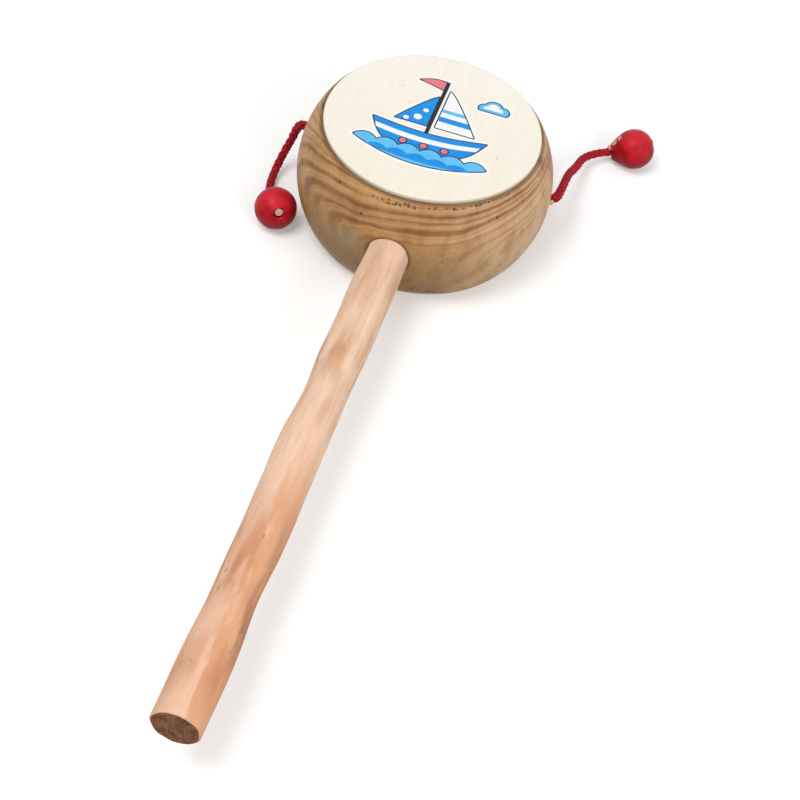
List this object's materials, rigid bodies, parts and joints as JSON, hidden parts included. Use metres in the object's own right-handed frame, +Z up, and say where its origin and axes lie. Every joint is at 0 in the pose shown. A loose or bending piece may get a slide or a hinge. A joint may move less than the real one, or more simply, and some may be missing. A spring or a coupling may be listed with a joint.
{
  "type": "pellet drum rattle",
  "caption": "Hand rattle drum: hollow barrel-shaped wooden body with thin wooden faces, a straight stick handle, and a bead on a short cord at each side that strikes the faces.",
  "frame": {"origin": "centre of the back face, where the drum lies on a table", "axes": "+Z up along the drum's axis to the front face, -Y along the handle to its free end, +X to the right cord hole"},
  "size_m": [0.1205, 0.2837, 0.0411],
  "materials": {
    "body_wood": "turned ring-porous wood, satin",
    "face_veneer": "smooth pale veneer",
    "handle_wood": "hand-cut stick, bare",
    "peg_wood": "split pale wood, bare",
    "bead_paint": "red stained, matt",
    "red_cord": "braided cord"
  },
  "bodies": {
    "drum": {"drum_body": "body_wood", "front_face": "face_veneer", "back_face": "face_veneer", "handle": "handle_wood", "cord_tail_right": "red_cord", "cord_tail_left": "red_cord", "wall_peg_right": "peg_wood", "wall_peg_left": "peg_wood"},
    "right_cord": {"cord_root_right": "red_cord"},
    "right_striker": {"cord_end_right": "red_cord", "bead_right": "bead_paint", "bead_peg_right": "peg_wood"},
    "left_cord": {"cord_root_left": "red_cord"},
    "left_striker": {"cord_end_left": "red_cord", "bead_left": "bead_paint", "bead_peg_left": "peg_wood"}
  },
  "joints": [
    {"name": "right_cord_swing", "type": "hinge", "parent": "drum", "child": "right_cord", "pos_m": [0.04139, 0.00582, 0.02055], "axis": [0.9903, 0.1392, 0], "continuous": true},
    {"name": "right_cord_fold", "type": "hinge", "parent": "right_cord", "child": "right_striker", "pos_m": [0.0437, 0.0297, 0.0126], "axis": [0, 0, 1], "range_deg": [-90, 85]},
    {"name": "left_cord_swing", "type": "hinge", "parent": "drum", "child": "left_cord", "pos_m": [-0.04139, 0.00582, 0.02055], "axis": [-0.9903, 0.1392, 0], "continuous": true},
    {"name": "left_cord_fold", "type": "hinge", "parent": "left_cord", "child": "left_striker", "pos_m": [-0.0503, 0.0026, 0.0043], "axis": [0, 0, 1], "range_deg": [-105, 0]}
  ]
}
